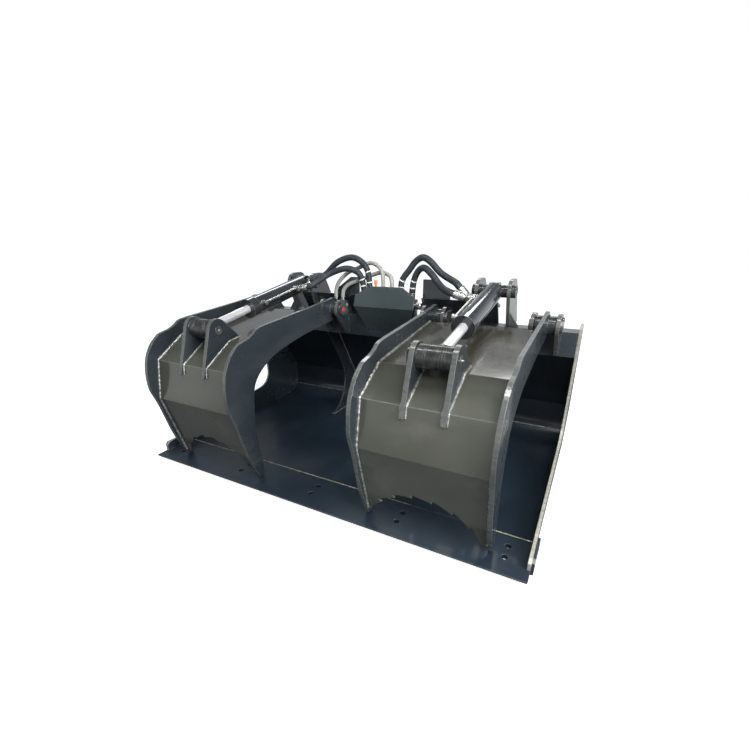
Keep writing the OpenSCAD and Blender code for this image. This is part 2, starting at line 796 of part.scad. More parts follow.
// Boss tubes of the claw round the pivot pins, between the lugs
module pivot_bosses(side) {
    reach = lug_x - lug_t / 2 - side_gap;
    color(paint) for (outer = [false, true]) {
        x = tine_x(side, outer);
        difference() {
            bar(x - reach, x + reach, pivot_y, pivot_z, boss_d / 2);
            bar(x - reach - over, x + reach + over, pivot_y, pivot_z,
                pivot_pin_d / 2 + run_gap);
        }
    }
}
module left_pivot_bosses() { pivot_bosses(-1); }
module right_pivot_bosses() { pivot_bosses(1); }

module rod_pin(side) {
    reach = (ear_w + ear_t) / 2;
    color(bright) bar(side * claw_mid - reach - head_t, side * claw_mid + reach + side_gap,
        rod_pin_y, rod_pin_z, cyl_pin_d / 2);
}
module left_rod_pin() { rod_pin(-1); }
module right_rod_pin() { rod_pin(1); }
// Rings on the rod pin: one each side of the rod eye, and a collar outside the left ear
module rod_rings(side) {
    inner = rod_eye_w / 2 + side_gap;
    outer = (ear_w - ear_t) / 2;
    outside = (ear_w + ear_t) / 2;
    color(paint) for (ring = [[inner, outer], [-outer, -inner], [-outside - head_t, -outside]])
        difference() {
            bar(side * claw_mid + ring[0], side * claw_mid + ring[1], rod_pin_y, rod_pin_z,
                rod_eye_d / 2);
            bar(side * claw_mid + ring[0] - over, side * claw_mid + ring[1] + over,
                rod_pin_y, rod_pin_z, cyl_pin_d / 2 + set_gap);
        }
}
module left_rod_rings() { rod_rings(-1); }
module right_rod_rings() { rod_rings(1); }

// Cylinders; their own frame has Z from the base pin to the rod pin

cyl_dy = rod_pin_y - base_pin_y;
cyl_dz = rod_pin_z - base_pin_z;
cyl_len = norm([cyl_dy, cyl_dz]);
// Middle X runs inboard on both sides of the bucket, Y runs up
module on_cylinder(side) {
    translate([side * claw_mid, base_pin_y - frame_y, base_pin_z])
        rotate([90 + atan2(-cyl_dz, -cyl_dy), 0, 0]) scale([-side, 1, 1]) children();
}
// Point of that frame in the part's frame
function cyl_at(side, x, up, s) = [side * (claw_mid - x),
    base_pin_y - frame_y + (s * cyl_dy + up * cyl_dz) / cyl_len,
    base_pin_z + (s * cyl_dz - up * cyl_dy) / cyl_len];
eye_wall = 22;
cap_len = 22;
neck_len = 14;
barrel_end = barrel_len - gland_len;
module barrel(side) {
    eye_r = cyl_pin_d / 2 + eye_wall;
    color(paint) on_cylinder(side) difference() {
        union() {
            translate([0, 0, eye_r / 2]) cylinder(h = barrel_end - eye_r / 2, d = barrel_d);
            translate([-rod_eye_w / 2, 0, 0]) rotate([0, 90, 0])
                cylinder(h = rod_eye_w, r = eye_r);
        }
        translate([0, 0, eye_r + cap_len])
            cylinder(h = barrel_end, d = barrel_bore);
        translate([-rod_eye_w / 2 - over, 0, 0]) rotate([0, 90, 0])
            cylinder(h = rod_eye_w + 2 * over, r = cyl_pin_d / 2 + run_gap);
        for (k = [-1, 1])
            translate([k * (rod_eye_w / 2 + barrel_d / 2) - barrel_d / 2, -barrel_d, -over])
                cube([barrel_d, 2 * barrel_d, eye_r * 4 / 5 + over]);
    }
}
module left_barrel() { barrel(-1); }
module right_barrel() { barrel(1); }
module gland(side) {
    color(paint) on_cylinder(side) difference() {
        translate([0, 0, barrel_end]) cylinder(h = gland_len, d = gland_d);
        translate([0, 0, barrel_end - over])
            cylinder(h = gland_len + 2 * over, d = rod_d + 2 * run_gap);
    }
}
module left_gland() { gland(-1); }
module right_gland() { gland(1); }

// Port line beside the barrel: offset inboard and up, bosses, lead of the front boss
// before the gland head, and its rear end
line_off = 56;
line_up = 12;
boss_r = 11;
front_lead = 28;
front_port = barrel_end - front_lead;
line_end = 150;
rear_port = 100;
module port_line(side) {
    color(bright) on_cylinder(side) {
        difference() {
            translate([0, line_up, front_port]) rotate([0, 90, 0])
                cylinder(h = line_off + boss_r, r = boss_r);
            cylinder(h = barrel_len, d = barrel_d);
            translate([-barrel_d, -barrel_d, 0]) cube([barrel_d, 2 * barrel_d, barrel_len]);
        }
        difference() {
            translate([line_off, line_up, line_end])
                cylinder(h = front_port - line_end - boss_r / 2, d = line_d);
            translate([0, line_up, line_end]) rotate([0, 90, 0])
                cylinder(h = elbow_x, r = boss_r);
        }
    }
}
module left_port_line() { port_line(-1); }
module right_port_line() { port_line(1); }
// Elbow fittings: places of their joints and lengths of their sleeves
elbow_x = 96;
elbow_r = 16;
sleeve_len = 48;
sleeve_r = 18;
rear_tilt = 45;
line_tilt = 15;
// Joint of the fitting k in the part's frame, and where its hose starts
function joint_at(side, k) = k == 0 ? cyl_at(side, elbow_x, 0, rear_port)
    : cyl_at(side, elbow_x, line_up, line_end);
function sleeve_dir(side, k) = let (a = k == 0 ? rear_tilt : line_tilt)
    [-side * cos(a), 0, sin(a)];
function hose_start(side, k) = joint_at(side, k) + sleeve_len * sleeve_dir(side, k);
module hose_elbows(side) {
    color(bright) {
        on_cylinder(side) {
            difference() {
                translate([0, 0, rear_port]) rotate([0, 90, 0])
                    cylinder(h = elbow_x, r = boss_r);
                cylinder(h = barrel_len, d = barrel_d);
                translate([-barrel_d, -barrel_d, 0])
                    cube([barrel_d, 2 * barrel_d, barrel_len]);
            }
            translate([line_off - boss_r, line_up, line_end]) rotate([0, 90, 0])
                cylinder(h = elbow_x - line_off + boss_r, r = boss_r);
        }
        for (k = [0, 1]) {
            translate(joint_at(side, k)) sphere(r = elbow_r);
            rod_between(joint_at(side, k), hose_start(side, k), sleeve_r);
        }
    }
}
module left_hose_elbows() { hose_elbows(-1); }
module right_hose_elbows() { hose_elbows(1); }

module rod(side) {
    color(chrome) on_cylinder(side)
        translate([0, 0, piston_at])
            cylinder(h = cyl_len - rod_eye_d / 2 - neck_len - piston_at, d = rod_d);
}
module left_rod() { rod(-1); }
module right_rod() { rod(1); }
module rod_eye(side) {
    color(paint) on_cylinder(side) difference() {
        union() {
            translate([-rod_eye_w / 2, 0, cyl_len]) rotate([0, 90, 0])
                cylinder(h = rod_eye_w, d = rod_eye_d);
            intersection() {
                translate([0, 0, cyl_len - rod_eye_d / 2 - neck_len])
                    cylinder(h = rod_eye_d / 2, d = rod_d + neck_len);
                translate([-rod_eye_w / 2, -rod_eye_d / 2, 0])
                    cube([rod_eye_w, rod_eye_d, cyl_len]);
            }
        }
        translate([-rod_eye_w / 2 - over, 0, cyl_len]) rotate([0, 90, 0])
            cylinder(h = rod_eye_w + 2 * over, r = cyl_pin_d / 2 + eye_play);
    }
}
module left_rod_eye() { rod_eye(-1); }
module right_rod_eye() { rod_eye(1); }
// Piston on the end of the rod: length, place from the base pin, wear ring groove
piston_len = 42;
piston_at = 330;
piston_groove = 3;
module piston(side) {
    color(bright) on_cylinder(side) translate([0, 0, piston_at - piston_len]) difference() {
        cylinder(h = piston_len, d = barrel_bore - 2 * run_gap);
        translate([0, 0, piston_len / 3]) difference() {
            cylinder(h = piston_len / 3, d = barrel_bore);
            translate([0, 0, -over])
                cylinder(h = piston_len, d = barrel_bore - 2 * piston_groove);
        }
    }
}
module left_piston() { piston(-1); }
module right_piston() { piston(1); }

// Hoses: chosen points of their runs, in the part's frame

// Rings between two points, and sides of a ring
hose_steps = 2;
hose_sides = 10;
// Straight start of a hose out of its sleeve
hose_lead = 24;
port_top = block_z + manifold_h + adaptor_h;
left_outer_run = [[-376, 255, 875], [-301, 267, 938], [-219, 275, 964], [-156, 276, 944],
    [-117, 275, 895]];
left_inner_run = [[-327, 214, 880], [-237, 239, 910], [-174, 257, 895], [-150, 267, 858]];
right_outer_run = [[372, 236, 862], [293, 257, 899], [233, 269, 949], [190, 277, 967],
    [150, 281, 947], [119, 279, 908], [83, 275, 860]];
right_inner_run = [[315, 204, 844], [257, 231, 894], [210, 251, 921], [174, 263, 906],
    [149, 269, 860]];
supply_one_run = [[-26, 274, 850], [-36, 282, 895], [-72, 298, 925], [-125, 312, 935],
    [-200, 312, 908], [-255, 298, 885], [-300, 278, 840], [-316, 268, 795]];
supply_two_run = [[24, 275, 845], [4, 292, 876], [-50, 312, 889], [-105, 314, 878],
    [-145, 300, 862], [-192, 278, 845], [-240, 272, 825], [-268, 268, 795]];
function frame_of(d) = let (a = abs(d[0]) < abs(d[1]) ? [1, 0, 0] : [0, 1, 0],
    u = unit(cross(d, a))) [u, cross(d, u)];
// One closed tube round a smooth run of points, its ends square to end_a and end_b
module tube(p, r, end_a, end_b) {
    n = len(p);
    dir = [for (i = [0:n - 1]) i == 0 ? end_a : i == n - 1 ? end_b
        : unit(p[i + 1] - p[i - 1])];
    pts = [for (i = [0:n - 1]) let (f = frame_of(dir[i])) for (k = [0:hose_sides - 1])
        p[i] + r * (cos(k * 360 / hose_sides) * f[0] + sin(k * 360 / hose_sides) * f[1])];
    polyhedron(pts, concat([[for (k = [0:hose_sides - 1]) k]],
        [[for (k = [hose_sides - 1:-1:0]) (n - 1) * hose_sides + k]],
        [for (i = [0:n - 2], k = [0:hose_sides - 1])
            let (a = i * hose_sides, b = (k + 1) % hose_sides)
                [a + k, a + hose_sides + k, a + hose_sides + b, a + b]]));
}
// Hose from the sleeve k of a cylinder over its chosen points to a port of the block
module work_hose(side, k, run, port_x) {
    end = [port_x, port_y - frame_y, port_top + set_gap];
    start = hose_start(side, k) + set_gap * sleeve_dir(side, k);
    color(rubber) tube(smooth(concat([start, start + hose_lead * sleeve_dir(side, k)], run,
        [end]), hose_steps),
        hose_d / 2, sleeve_dir(side, k), [0, 0, -1]);
}
module left_outer_hose() { work_hose(-1, 0, left_outer_run, work_port_x[1]); }
module left_inner_hose() { work_hose(-1, 1, left_inner_run, work_port_x[0]); }
module right_outer_hose() { work_hose(1, 0, right_outer_run, work_port_x[2]); }
module right_inner_hose() { work_hose(1, 1, right_inner_run, work_port_x[3]); }
module supply_hoses() {
    color([0.6, 0.6, 0.58]) for (k = [0, 1])
        tube(smooth(concat([[supply_port_x[k], port_y - frame_y, port_top]],
            k == 0 ? supply_one_run : supply_two_run,
            [[quick_x[k], quick_y - frame_y, beam_top + quick_h]]), hose_steps),
            supply_d / 2, [0, 0, 1], [0, 0, -1]);
}

cutting_edge();
floor_sheet();
back_sheet();
side_plate_left();
side_plate_right();
side_wear_pads();
top_beam();
inner_ribs();
left_claw_lugs();
right_claw_lugs();
left_cylinder_bracket();
right_cylinder_bracket();
coupler_plate();
coupler_lip();
coupler_ledge();
rear_gussets();
middle_guard();
manifold_block();
manifold_feet();
manifold_adaptors();
port_cap();
pivot_pins();
base_pins();
pin_collars();
collar_bolts();
quick_couplers();
left_outer_hose();
left_inner_hose();
right_outer_hose();
right_inner_hose();
supply_hoses();
left_outer_tine();
left_inner_tine();
left_cover_plate();
left_rod_ears();
left_pivot_bosses();
left_rod_pin();
left_rod_rings();
right_outer_tine();
right_inner_tine();
right_cover_plate();
right_rod_ears();
right_pivot_bosses();
right_rod_pin();
right_rod_rings();
left_barrel();
left_gland();
left_port_line();
left_hose_elbows();
right_barrel();
right_gland();
right_port_line();
right_hose_elbows();
left_rod();
left_rod_eye();
left_piston();
right_rod();
right_rod_eye();
right_piston();
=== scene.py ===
import math

import bpy
from mathutils import Matrix, Vector


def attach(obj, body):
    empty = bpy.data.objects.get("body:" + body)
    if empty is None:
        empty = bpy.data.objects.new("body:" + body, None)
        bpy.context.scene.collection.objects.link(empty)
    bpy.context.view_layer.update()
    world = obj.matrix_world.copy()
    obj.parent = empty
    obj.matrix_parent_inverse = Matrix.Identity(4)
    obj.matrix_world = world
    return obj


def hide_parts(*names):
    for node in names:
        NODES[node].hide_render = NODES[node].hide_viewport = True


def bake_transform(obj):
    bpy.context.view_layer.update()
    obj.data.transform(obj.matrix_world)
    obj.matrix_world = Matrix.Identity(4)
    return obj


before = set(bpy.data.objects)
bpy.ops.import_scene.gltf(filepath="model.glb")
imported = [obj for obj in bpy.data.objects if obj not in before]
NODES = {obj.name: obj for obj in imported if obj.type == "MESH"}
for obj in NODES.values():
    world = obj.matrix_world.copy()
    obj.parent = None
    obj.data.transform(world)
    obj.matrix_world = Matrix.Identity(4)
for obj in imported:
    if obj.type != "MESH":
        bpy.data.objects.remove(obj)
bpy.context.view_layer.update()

# Camera.
# The photograph's camera, in the part's frame: place in metres, angles in degrees,
# focal length and principal point in pixels of a 750 pixel frame.
IMAGE = 750
SENSOR = 36.0
CAM_AT = (0.983, -1.676, 1.064)
CAM_YAW, CAM_PITCH, CAM_ROLL = 28.81, 23.81, -0.94
CAM_FOCAL = 403.4
CAM_CENTRE = (374.7, 414.4)


def add_camera():
    yaw, pitch, roll = (math.radians(a) for a in (CAM_YAW, CAM_PITCH, CAM_ROLL))
    look = Vector((-math.sin(yaw) * math.cos(pitch), math.cos(yaw) * math.cos(pitch),
                   -math.sin(pitch)))
    side = Vector((math.cos(yaw), math.sin(yaw), 0))
    over = side.cross(look)
    right = math.cos(roll) * side + math.sin(roll) * over
    up = -math.sin(roll) * side + math.cos(roll) * over
    data = bpy.data.cameras.new("camera")
    data.sensor_width = SENSOR
    data.lens = CAM_FOCAL / IMAGE * SENSOR
    data.shift_x = (IMAGE / 2 - CAM_CENTRE[0]) / IMAGE
    data.shift_y = (CAM_CENTRE[1] - IMAGE / 2) / IMAGE
    data.clip_start, data.clip_end = 0.05, 60
    cam = bpy.data.objects.new("camera", data)
    turn = Matrix((right, up, -look)).transposed().to_4x4()
    cam.matrix_world = Matrix.Translation(CAM_AT) @ turn
    bpy.context.collection.objects.link(cam)
    bpy.context.scene.camera = cam


# Node materials.
class Shader:
    """A material's node tree with one Principled shader."""

    def __init__(self, name, **sockets):
        self.material = bpy.data.materials.new(name)
        self.material.use_nodes = True
        self.tree = self.material.node_tree
        self.bsdf = self.tree.nodes["Principled BSDF"]
        for key, value in sockets.items():
            self.bsdf.inputs[key.replace("_", " ")].default_value = value
        self.place = self.node("ShaderNodeTexCoord").outputs["Object"]

    def node(self, kind, **values):
        n = self.tree.nodes.new(kind)
        for key, value in values.items():
            setattr(n, key, value)
        return n

    def link(self, a, b):
        self.tree.links.new(a, b)

    def noise(self, scale, detail=3.0, stretch=None, rough=0.5):
        n = self.node("ShaderNodeTexNoise")
        n.inputs["Scale"].default_value = scale
        n.inputs["Detail"].default_value = detail
        n.inputs["Roughness"].default_value = rough
        place = self.place
        if stretch:
            m = self.node("ShaderNodeMapping")
            m.inputs["Scale"].default_value = stretch
            self.link(place, m.inputs["Vector"])
            place = m.outputs["Vector"]
        self.link(place, n.inputs["Vector"])
        return n.outputs["Fac"]

    def ramp(self, fac, stops):
        n = self.node("ShaderNodeValToRGB")
        points = n.color_ramp.elements
        while len(points) < len(stops):
            points.new(0.5)
        for point, (at, colour) in zip(points, stops):
            point.position = at
            point.color = (*colour, 1) if hasattr(colour, "__len__") else (colour,) * 3 + (1,)
        self.link(fac, n.inputs["Fac"])
        return n.outputs["Color"]

    def mix(self, fac, a, b):
        n = self.node("ShaderNodeMix", data_type="RGBA")
        for socket, value in ((n.inputs[0], fac), (n.inputs[6], a), (n.inputs[7], b)):
            if isinstance(value, bpy.types.NodeSocket):
                self.link(value, socket)
            else:
                socket.default_value = (*value, 1) if hasattr(value, "__len__") else value
        return n.outputs[2]

    def times(self, a, b):
        n = self.node("ShaderNodeMath", operation="MULTIPLY")
        for socket, value in zip(n.inputs, (a, b)):
            if isinstance(value, bpy.types.NodeSocket):
                self.link(value, socket)
            else:
                socket.default_value = value
        return n.outputs[0]

    def rounded(self, radius):
        """Normal with its edges rounded, for the highlight along a plate's edge."""
        n = self.node("ShaderNodeBevel", samples=4)
        n.inputs["Radius"].default_value = radius
        return n.outputs["Normal"]

    def edge(self, rounded, low=0.90, high=0.995):
        """Mask that is 1 along the edges, from the rounded normal."""
        true = self.node("ShaderNodeNewGeometry").outputs["True Normal"]
        dot = self.node("ShaderNodeVectorMath", operation="DOT_PRODUCT")
        self.link(true, dot.inputs[0])
        self.link(rounded, dot.inputs[1])
        m = self.node("ShaderNodeMapRange")
        for key, value in (("From Min", high), ("From Max", low), ("To Min", 0),
                           ("To Max", 1)):
            m.inputs[key].default_value = value
        self.link(dot.outputs["Value"], m.inputs["Value"])
        return m.outputs["Result"]

    def bump(self, layers, normal=None):
        """Stacks bumps (height socket, strength, distance) on a normal."""
        for height, strength, distance in layers:
            n = self.node("ShaderNodeBump")
            n.inputs["Strength"].default_value = strength
            n.inputs["Distance"].default_value = distance
            self.link(height, n.inputs["Height"])
            if normal is not None:
                self.link(normal, n.inputs["Normal"])
            normal = n.outputs["Normal"]
        self.link(normal, self.bsdf.inputs["Normal"])

    def to(self, key, socket):
        self.link(socket, self.bsdf.inputs[key])


# Heights in metres between which a crown colour comes in.
CROWN_FROM, CROWN_FULL = 0.615, 0.65


def paint(name, deep, light, dust, rough=(0.2, 0.42), dusty=0.35, edge_tint=0.6, wave=0.12,
          rim=None, crown=None, bend=0.003, coat=0.6):
    """Glossy sprayed paint on plate: cloudy colour, thin dust, smears, pale edges that are partly
    wear and partly painted highlight.

    A rim colour of painted highlight goes on the cut faces of plates that stand square to X,
    where their edges catch the light, and a crown colour on what lies high on the part."""
    s = Shader(name, Coat_Weight=coat, Coat_Roughness=0.07)
    cloud = s.noise(2.4, 3)
    base = s.mix(s.ramp(cloud, [(0.3, 0.0), (0.72, 1.0)]), deep, light)
    smear = s.ramp(s.noise(4.5, 3, (1.0, 0.6, 1.5), 0.5), [(0.55, 0.0), (0.8, 1.0)])
    base = s.mix(s.times(smear, dusty), base, dust)
    if crown:
        split = s.node("ShaderNodeSeparateXYZ")
        s.link(s.place, split.inputs[0])
        high = s.ramp(split.outputs["Z"], [(CROWN_FROM, 0.0), (CROWN_FULL, 1.0)])
        base = s.mix(s.times(high, s.ramp(s.noise(5, 5), [(0.25, 0.45), (0.7, 1.0)])),
                     base, crown)
    # Painted highlight: the rim colour, broken into streaks, lights the cut faces that turn away
    # from X.
    if rim:
        split = s.node("ShaderNodeSeparateXYZ")
        s.link(s.node("ShaderNodeNewGeometry").outputs["True Normal"], split.inputs[0])
        flat = s.node("ShaderNodeMath", operation="ABSOLUTE")
        s.link(split.outputs["X"], flat.inputs[0])
        cut = s.ramp(flat.outputs[0], [(0.2, 1.0), (0.6, 0.0)])
        highlight_streaks = s.ramp(s.noise(1.0, 4, (6, 110, 110), 0.7), [(0.3, 0.35), (0.62, 1.0)])
        base = s.mix(s.times(cut, highlight_streaks), base, rim)
    round_n = s.rounded(bend)
    # Pale edges: partly wear, partly painted highlight along each edge.
    wear_and_highlight = s.times(s.edge(round_n), s.ramp(s.noise(38, 4), [(0.3, 0.6), (0.6, 1.0)]))
    base = s.mix(s.times(wear_and_highlight, edge_tint), base, [0.5 * c + 0.18 for c in dust])
    s.to("Base Color", base)
    s.to("Roughness", s.ramp(s.noise(6, 5, None, 0.6), [(0.3, rough[0]), (0.75, rough[1])]))
    s.bump([(s.noise(3.5, 2), wave, 0.02), (s.noise(160, 2), 0.02, 0.001)], round_n)
    return s.material


def metal(name, low, high, rough, metallic=1.0, stretch=None, scale=30, fine=0.08):
    """Bare or plated steel with fine turning marks."""
    s = Shader(name, Metallic=metallic)
    s.to("Base Color", s.mix(s.ramp(s.noise(scale, 5, stretch), [(0.3, 0.0), (0.7, 1.0)]),
                             low, high))
    s.to("Roughness", s.ramp(s.noise(scale * 1.7, 4, stretch), [(0.3, rough[0]),
                                                              (0.7, rough[1])]))
    s.bump([(s.noise(scale * 8, 3, stretch), fine, 0.001)], s.rounded(0.0012))
    return s.material


def bead_metal(name, low, high, metallic, rough):
    s = Shader(name, Metallic=metallic)
    s.to("Base Color", s.mix(s.ramp(s.noise(60, 6, None, 0.7), [(0.35, 0.0), (0.65, 1.0)]),
                             low, high))
    s.to("Roughness", s.ramp(s.noise(90, 3), [(0.3, rough[0]), (0.7, rough[1])]))
    s.bump([(s.noise(500, 3), 0.25, 0.001)])
    return s.material


def woven(name, dark, light, across=160.0, around=14.0):
    """Textile sleeve of a hose: crossed diagonal yarns from the tube's own length and turn."""
    s = Shader(name)
    uv = s.node("ShaderNodeUVMap", uv_map="tube").outputs["UV"]
    sums = []
    for sign in (1, -1):
        m = s.node("ShaderNodeMapping")
        m.inputs["Scale"].default_value = (across, around, 1)
        s.link(uv, m.inputs["Vector"])
        split = s.node("ShaderNodeSeparateXYZ")
        s.link(m.outputs["Vector"], split.inputs[0])
        turn = s.times(split.outputs["Y"], float(sign))
        add = s.node("ShaderNodeMath", operation="ADD")
        s.link(split.outputs["X"], add.inputs[0])
        s.link(turn, add.inputs[1])
        wave = s.node("ShaderNodeMath", operation="SINE")
        s.link(s.times(add.outputs[0], 2 * math.pi), wave.inputs[0])
        sums.append(wave.outputs[0])
    peak = s.node("ShaderNodeMath", operation="MAXIMUM")
    s.link(sums[0], peak.inputs[0])
    s.link(sums[1], peak.inputs[1])
    yarn = s.ramp(peak.outputs[0], [(0.2, 0.0), (0.95, 1.0)])
    s.to("Base Color", s.mix(s.times(yarn, 0.7), dark, light))
    s.to("Roughness", s.ramp(s.noise(40, 3), [(0.3, 0.5), (0.7, 0.75)]))
    s.bump([(peak.outputs[0], 0.35, 0.0006), (s.noise(300, 2), 0.15, 0.0006)])
    return s.material


MATERIALS = {}


def make_materials():
    m = MATERIALS
    m["dark"] = paint("paint_dark", (0.013, 0.018, 0.023), (0.026, 0.034, 0.042),
                      (0.09, 0.105, 0.115))
    # The rim colours of the plate and side paints are painted highlight on the plates' cut edges.
    m["plate"] = paint("paint_plate", (0.016, 0.022, 0.027), (0.031, 0.040, 0.047),
                       (0.10, 0.115, 0.12), rim=(0.10, 0.105, 0.095))
    m["guard"] = paint("paint_guard", (0.026, 0.038, 0.039), (0.044, 0.060, 0.061),
                       (0.13, 0.16, 0.16))
    m["side"] = paint("paint_side", (0.016, 0.024, 0.032), (0.030, 0.042, 0.054),
                      (0.11, 0.13, 0.15), rim=(0.42, 0.41, 0.34))
    m["floor"] = paint("paint_floor", (0.008, 0.015, 0.024), (0.015, 0.027, 0.040),
                       (0.045, 0.065, 0.085), rough=(0.3, 0.5), dusty=0.3, coat=0.1)
    # The covers' olive tone is partly their paint and partly a painted reflection of green-tinted
    # surroundings.
    m["cover"] = paint("paint_cover", (0.042, 0.044, 0.034), (0.074, 0.077, 0.060),
                       (0.17, 0.17, 0.145), rough=(0.12, 0.28), dusty=0.35,
                       crown=(0.036, 0.032, 0.022), bend=0.007)
    m["inside"] = paint("paint_inside", (0.005, 0.009, 0.015), (0.010, 0.018, 0.028),
                        (0.035, 0.05, 0.065), rough=(0.28, 0.5), dusty=0.25)
    m["cylinder"] = paint("paint_cylinder", (0.016, 0.019, 0.022), (0.028, 0.032, 0.036),
                          (0.12, 0.12, 0.11), rough=(0.06, 0.16), dusty=0.15, wave=0.08)
    # Painted reflection: a pale, half-diffuse tone with streaks along the rod stands in for the
    # chrome's bright mirror.
    m["chrome"] = metal("rod_chrome", (0.62, 0.63, 0.66), (0.86, 0.86, 0.88), (0.08, 0.2),
                        metallic=0.55, stretch=(1, 0.2, 1), scale=24, fine=0.03)
    m["pin"] = metal("pin_steel", (0.10, 0.10, 0.10), (0.30, 0.29, 0.28), (0.3, 0.5),
                     metallic=0.85)
    m["turned"] = metal("turned_steel", (0.035, 0.038, 0.038), (0.085, 0.087, 0.082), (0.16, 0.3),
                        metallic=0.5, stretch=(3, 1, 1))
    m["plated"] = metal("plated_steel", (0.50, 0.50, 0.47), (0.82, 0.82, 0.78), (0.2, 0.42))
    m["bead"] = bead_metal("weld_bead", (0.16, 0.165, 0.16), (0.62, 0.62, 0.60), 0.75,
                           (0.22, 0.5))
    # Bare floor bead: its pale gold is partly the weld's own tone and partly a painted glint.
    m["gold_bead"] = bead_metal("weld_floor", (0.16, 0.14, 0.09), (0.55, 0.49, 0.36), 0.5,
                                (0.3, 0.6))
    # Dark bead: beads painted over with the part, and on the floor seam painted shade under the
    # right claw.
    m["dark_bead"] = bead_metal("weld_painted_and_shade", (0.015, 0.02, 0.025), (0.07, 0.08, 0.085),
                                0.3, (0.25, 0.5))
    m["hose"] = woven("hose_textile", (0.005, 0.008, 0.011), (0.035, 0.048, 0.060))
    m["supply"] = woven("hose_light", (0.20, 0.20, 0.185), (0.46, 0.455, 0.43), 220, 20)
    s = Shader("cap_moulded")
    s.to("Base Color", s.mix(s.noise(30, 3), (0.62, 0.15, 0.03), (0.85, 0.28, 0.08)))
    s.to("Roughness", s.ramp(s.noise(60, 2), [(0.3, 0.3), (0.7, 0.45)]))
    s.bump([(s.noise(200, 2), 0.1, 0.001)])
    m["cap"] = s.material
    s = Shader("red_mark")
    s.to("Base Color", s.mix(s.noise(90, 4), (0.45, 0.01, 0.015), (0.85, 0.05, 0.05)))
    s.to("Roughness", s.ramp(s.noise(60, 2), [(0.3, 0.35), (0.7, 0.55)]))
    s.bump([(s.noise(250, 3), 0.3, 0.001)])
    m["red"] = s.material
    s = Shader("tie_nylon", Subsurface_Weight=0.1)
    s.to("Base Color", s.mix(s.noise(80, 2), (0.62, 0.62, 0.58), (0.85, 0.85, 0.80)))
    s.to("Roughness", s.ramp(s.noise(60, 2), [(0.3, 0.4), (0.7, 0.6)]))
    s.bump([(s.noise(400, 2), 0.1, 0.001)])
    m["tie"] = s.material


NODE_MATERIALS = {
    "cutting_edge": "floor", "floor_sheet": "floor", "side_wear_pads": "dark",
    "back_sheet": "inside", "top_beam": "dark", "inner_ribs": "dark",
    "pivot_pins": "pin", "base_pins": "pin", "pin_collars": "turned",
    "middle_guard": "guard", "side_plate_left": "side", "side_plate_right": "side",
    "collar_bolts": "plated", "quick_couplers": "plated", "manifold_block": "cylinder",
    "manifold_adaptors": "plated", "port_cap": "cap",
}
PART_MATERIALS = {
    "outer_tine": "plate", "inner_tine": "plate", "rod_ears": "plate", "claw_lugs": "plate",
    "cylinder_bracket": "plate",
    "cover_plate": "cover", "pivot_bosses": "turned", "rod_pin": "pin", "rod_rings": "turned",
    "rod_eye": "turned", "barrel": "cylinder", "gland": "cylinder", "port_line": "plated",
    "hose_elbows": "plated", "rod": "chrome", "piston": "pin",
}


def dress_nodes():
    for name, obj in NODES.items():
        tail = name.split("_", 1)[1] if name.startswith(("left_", "right_")) else name
        key = NODE_MATERIALS.get(name) or PART_MATERIALS.get(tail, "dark")
        if not obj.material_slots:
            obj.data.materials.append(MATERIALS[key])
        for slot in obj.material_slots:
            slot.material = MATERIALS[key]


# Mesh helpers.
def add_mesh(name, verts, faces, material, smooth=True):
    mesh = bpy.data.meshes.new(name)
    mesh.from_pydata([tuple(v) for v in verts], [], faces)
    mesh.materials.append(MATERIALS[material])
    if smooth:
        mesh.polygons.foreach_set("use_smooth", [True] * len(mesh.polygons))
    mesh.update()
    obj = bpy.data.objects.new(name, mesh)
    bpy.context.collection.objects.link(obj)
    return obj


def catmull(points, steps):
    """Smooth run through the points, the same curve as the solids' own routes."""
    out = []
    last = len(points) - 1
    for i in range(last):
        a, b = points[max(i - 1, 0)], points[i]
        c, d = points[i + 1], points[min(i + 2, last)]
        for k in range(steps):
            s = k / steps
            out.append(0.5 * (2 * b + (c - a) * s + (2 * a - 5 * b + 4 * c - d) * s ** 2
                              + (3 * b - a - 3 * c + d) * s ** 3))
    return out + [points[last]]


def sweep(path, radii, sides, closed=False):
    """Vertices, faces and lengths of a tube round a path, its frame carried along it."""
    n = len(path)
    verts, faces, along = [], [], [0.0]
    for i in range(1, n):
        along.append(along[-1] + (path[i] - path[i - 1]).length)
    side = None
    for i in range(n):
        if closed:
            d = path[(i + 1) % n] - path[i - 1]
        else:
            d = path[min(i + 1, n - 1)] - path[max(i - 1, 0)]
        d.normalize()
        if side is None:
            side = d.cross(Vector((0.3, 0.5, 0.81))).normalized()
        side = (side - side.dot(d) * d).normalized()
        other = d.cross(side)
        r = radii[i] if hasattr(radii, "__len__") else radii
        for k in range(sides):
            a = 2 * math.pi * k / sides
            verts.append(path[i] + r * (math.cos(a) * side + math.sin(a) * other))
    rings = n if closed else n - 1
    for i in range(rings):
        for k in range(sides):
            a, b = i * sides, ((i + 1) % n) * sides
            k2 = (k + 1) % sides
            faces.append((a + k, a + k2, b + k2, b + k))
    if not closed:
        faces.append(tuple(range(sides - 1, -1, -1)))
        faces.append(tuple((n - 1) * sides + k for k in range(sides)))
    return verts, faces, along


def give_tube_uv(obj, along, sides):
    """UV of a tube: length along it in metres, share of its turn."""
    layer = obj.data.uv_layers.new(name="tube")
    for poly in obj.data.polygons:
        ring_max = max(obj.data.loops[l].vertex_index % sides for l in poly.loop_indices)
        for l in poly.loop_indices:
            v = obj.data.loops[l].vertex_index
            k = v % sides
            if ring_max == sides - 1 and k == 0 and len(poly.loop_indices) == 4:
                k = sides
            layer.data[l].uv = (along[v // sides], k / sides)


# Places of the solids, in millimetres: across, back from the front of the edge, and up.
MM = 0.001
